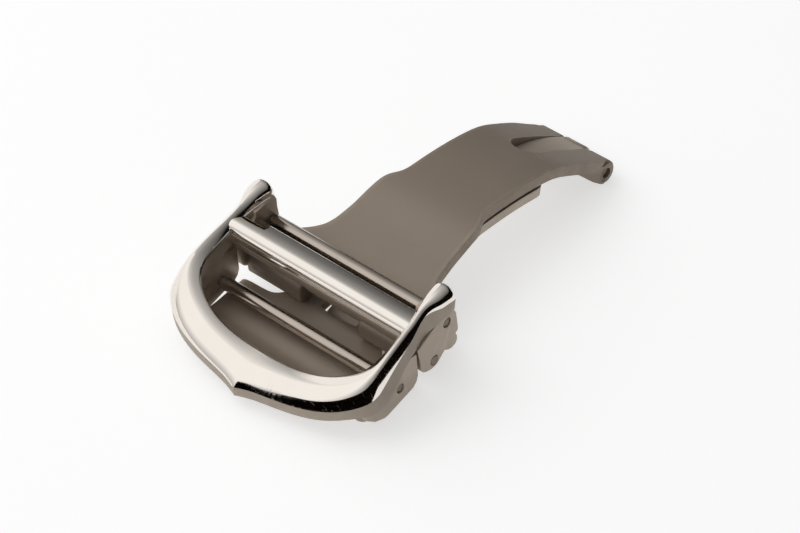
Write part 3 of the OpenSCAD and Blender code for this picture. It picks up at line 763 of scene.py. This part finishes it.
yoke = {"front": [(0.43, 3.8), (-2.05, 2.28), (-1.72, 0.9)],
        "foot": [(-1.62, 0.2), (-1.5, -0.2), (-1.15, -0.55), (-0.3, -0.72), (0.48, -0.45), (1.33, 0.35),
                 (2.5, 1.2), (2.83, 1.7), (2.62, 3.1)],
        "topMiddle": (1.48, 3.0), "topRadius": 1.15, "topTurn": (8, 118), "edge": 0.1,
        "rodHole": 0.445, "pinHole": 0.455}
yokeLine = yoke["front"] + [tuple(p) for p in spline(yoke["foot"], 50)]
yokeLine = around(headPin, yokeLine + arcPoints(yoke["topMiddle"], yoke["topRadius"], *yoke["topTurn"], 24))
for name, node, side in (("yokePlateLeft", "yoke_plate_left", 1), ("yokePlateRight", "yoke_plate_right", -1)):
    plate = plateAlongY(name, yokeLine, *bothWays(side, wallIn, wallOut))
    drill(plate, rearRod, yoke["rodHole"], -12, 12)
    drill(plate, headPin, yoke["pinHole"], -12, 12)
    softEdges(plate, yoke["edge"], 3, 35)
    smoothBelow(plate, 30)
    finish(plate, "pressedSteel", "yoke", node)

# half is half the length along Y
rods = {
    "headHingePin": {"axis": headPin, "radius": 0.42, "half": 10.4, "edge": 0.05, "steel": "satinSteel",
                     "slot": "satin_steel", "body": "yoke", "node": "head_hinge_pin"},
    "foldPinRivet": {"axis": foldPin, "radius": 0.48, "half": 3.7, "edge": 0.08, "steel": "satinSteel",
                     "slot": "satin_steel", "body": "upper_arm", "node": "fold_pin"},
    "frontRodPin": {"axis": frontRod, "radius": 0.38, "half": 10.32, "edge": 0.12, "steel": "satinSteel",
                    "slot": "satin_steel", "body": "cover", "node": "front_rod_pin"},
    "rearRodPin": {"axis": rearRod, "radius": 0.43, "half": 10.32, "edge": 0.12, "steel": "satinSteel",
                   "slot": "satin_steel", "body": "yoke", "node": "rear_rod_pin"},
    "frontRodSleeve": {"axis": frontRod, "radius": 0.60, "half": 8.75, "edge": 0.07, "steel": "turnedSteel",
                       "slot": "polished_steel", "body": "front_roller", "node": "front_rod_sleeve"},
    "rearRodSleeve": {"axis": rearRod, "radius": 0.71, "half": 8.65, "edge": 0.09, "steel": "turnedSteel",
                      "slot": "polished_steel", "body": "rear_roller", "node": "rear_rod_sleeve"},
    "strapBarTube": {"axis": strapBar, "radius": 0.60, "half": 6.5, "edge": 0.06, "steel": "satinSteel",
                     "slot": "satin_steel", "body": "lower_arm", "node": "strap_bar_tube"},
}
for name, rod in rods.items():
    piece = roundBar(name, rod["axis"], rod["radius"], -rod["half"], rod["half"], sides=96, edge=rod["edge"])
    smoothBelow(piece, 40)
    finish(piece, rod["steel"], rod["body"], rod["node"])
print("rods and pins made:", len(rods))

# the coil inside the strap bar, in two halves that meet in the middle
coil = {"wire": 0.085, "turns": 13, "sides": 8, "steps": 20}
low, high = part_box("strap_bar_spring")
wire = coil["wire"] * mm
for name, side, push in (("coilLeft", 1, "bar_tip_left_push"), ("coilRight", -1, "bar_tip_right_push")):
    reach = (high.y if side > 0 else -low.y) - 2 * wire
    clearSelection()
    bpy.ops.mesh.primitive_circle_add(vertices=coil["sides"], radius=wire, fill_type="NOTHING")
    winding = newest(name)
    bpy.ops.object.mode_set(mode="EDIT")
    bpy.ops.transform.translate(value=((high.x - low.x) / 2 - wire, 0, 0))
    bpy.ops.object.mode_set(mode="OBJECT")
    useModifier(winding, "SCREW", axis="Y", screw_offset=side * reach / coil["turns"], iterations=coil["turns"],
                steps=coil["steps"], render_steps=coil["steps"])
    bpy.ops.object.mode_set(mode="EDIT")
    bpy.ops.mesh.select_all(action="SELECT")
    bpy.ops.mesh.fill_holes(sides=0)
    bpy.ops.object.mode_set(mode="OBJECT")
    tidyNormals(winding)
    winding.location = ((low.x + high.x) / 2, side * wire, (low.z + high.z) / 2)
    fixPlace(winding)
    smoothBelow(winding, 50)
    finish(winding, "springWire", "lower_arm", "strap_bar_spring")
    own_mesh(winding)
print("coil wound:", 2 * coil["turns"], "turns")

studio = {
    "floorColor": (0.55, 0.55, 0.55), "floorRough": 0.9, "floorGlow": 0.60, "worldLight": 1.12,
    "scrimRadius": 0.9, "scrimColor": (0.004, 0.003, 0.002),
    "sunSide": (-0.45, 0.50, 0.74),
    "sunOpening": [(0.0, 0.0), (0.42, 0.0), (0.50, 0.13), (0.65, 0.26), (0.74, 0.35), (0.80, 0.42), (0.86, 0.54),
                   (0.92, 0.74), (0.97, 0.95)],
    "backSide": (0.1, 0.93, 0.25), "backOpening": [(0.0, 0.0), (0.88, 0.0), (0.94, 0.9)],
    "card": {"middle": (-0.010, 0.0), "radius": 0.060, "height": 0.034, "turns": (-198, -20),
             "color": (0.006, 0.004, 0.003)},
    "lamp": {"place": (-0.26, 0.30, 0.55), "size": 0.50, "power": 0.8},
}

clearSelection()
bpy.ops.mesh.primitive_plane_add(size=6, location=(0, 0, 0))
floor = newest("floor")
paper, tree, shader = newMaterial("whitePaper")
shader.inputs["Base Color"].default_value = (*studio["floorColor"], 1)
shader.inputs["Roughness"].default_value = studio["floorRough"]
shader.inputs["Emission Color"].default_value = (1, 1, 1, 1)
rays = addNode(tree, "ShaderNodeLightPath")
seen = mathNode(tree, "MAXIMUM", rays.outputs["Is Camera Ray"],
                mathNode(tree, "MAXIMUM", rays.outputs["Is Glossy Ray"], rays.outputs["Is Transmission Ray"]))
tree.links.new(mathNode(tree, "MULTIPLY", seen, studio["floorGlow"]), shader.inputs["Emission Strength"])
floor.data.materials.append(paper)

# a dark scrim round the set: open towards the soft light and the back, closing to black on the far side
clearSelection()
bpy.ops.mesh.primitive_uv_sphere_add(segments=64, ring_count=32, radius=studio["scrimRadius"])
scrim = newest("scrim")
scrimCloth, tree, shader = newMaterial("scrimCloth")
tree.nodes.remove(shader)
place = addNode(tree, "ShaderNodeTexCoord").outputs["Object"]
direction = addNode(tree, "ShaderNodeVectorMath", {0: place}, operation="NORMALIZE").outputs[0]
opening = mathNode(tree, "MAXIMUM", towards(tree, direction, studio["sunSide"], studio["sunOpening"]),
                   towards(tree, direction, studio["backSide"], studio["backOpening"]))
black = addNode(tree, "ShaderNodeBsdfDiffuse", {"Color": (*studio["scrimColor"], 1)}).outputs[0]
clear = addNode(tree, "ShaderNodeBsdfTransparent").outputs[0]
cloth = addNode(tree, "ShaderNodeMixShader", {0: opening, 1: black, 2: clear}).outputs[0]
tree.links.new(cloth, tree.nodes["Material Output"].inputs["Surface"])
scrim.data.materials.append(scrimCloth)
scrim.visible_camera = False

# a black card that stands close by round the front and the right side, seen only in the polish
card = studio["card"]
clearSelection()
bpy.ops.mesh.primitive_cylinder_add(vertices=96, radius=card["radius"], depth=card["height"],
                                    end_fill_type="NOTHING", location=(*card["middle"], card["height"] / 2))
blackCard = newest("blackCard")
bpy.ops.object.mode_set(mode="EDIT")
bpy.ops.mesh.select_mode(type="FACE")
mesh = bmesh.from_edit_mesh(blackCard.data)
for face in mesh.faces:
    spot = face.calc_center_median()
    turn = math.degrees(math.atan2(spot.y, spot.x))
    face.select = not any(card["turns"][0] < turn - whole < card["turns"][1] for whole in (0, 360))
bmesh.update_edit_mesh(blackCard.data)
bpy.ops.mesh.delete(type="FACE")
bpy.ops.object.mode_set(mode="OBJECT")
blackCloth, tree, shader = newMaterial("blackCloth")
shader.inputs["Base Color"].default_value = (*card["color"], 1)
shader.inputs["Roughness"].default_value = 1.0
shader.inputs["Specular IOR Level"].default_value = 0.0
blackCard.data.materials.append(blackCloth)
blackCard.visible_camera = blackCard.visible_diffuse = blackCard.visible_shadow = False

world = bpy.data.worlds.new("whiteRoom")
bpy.context.scene.world = world
world.use_nodes = True
world.node_tree.nodes["Background"].inputs["Color"].default_value = (1, 1, 1, 1)
world.node_tree.nodes["Background"].inputs["Strength"].default_value = studio["worldLight"]

lamp = studio["lamp"]
clearSelection()
bpy.ops.object.light_add(type="AREA", location=lamp["place"])
light = newest("keyPanel")
light.data.size = lamp["size"]
light.data.energy = lamp["power"]
light.visible_glossy = False  # its mirror image would burn out on the polish
light.rotation_euler = (Vector((0, 0, 0)) - Vector(lamp["place"])).to_track_quat("-Z", "Y").to_euler()
print("studio set")

viewpoint = {"place": (-0.1582596, -0.1405346, 0.1787720), "forward": (0.569986, 0.511801, -0.642788),
             "right": (0.668108, -0.744064, 0.0), "lens": 149.41, "sensor": 36, "clip": (0.005, 20)}
clearSelection()
bpy.ops.object.camera_add(location=viewpoint["place"])
camera = newest("camera")
forward, right = Vector(viewpoint["forward"]).normalized(), Vector(viewpoint["right"]).normalized()
camera.rotation_euler = Matrix((right, right.cross(forward), -forward)).transposed().to_euler()
camera.data.lens = viewpoint["lens"]
camera.data.sensor_width = viewpoint["sensor"]
camera.data.clip_start, camera.data.clip_end = viewpoint["clip"]
bpy.context.scene.camera = camera

bpy.context.scene.view_settings.view_transform = "Standard"
clearSelection()
print("clasp ready")
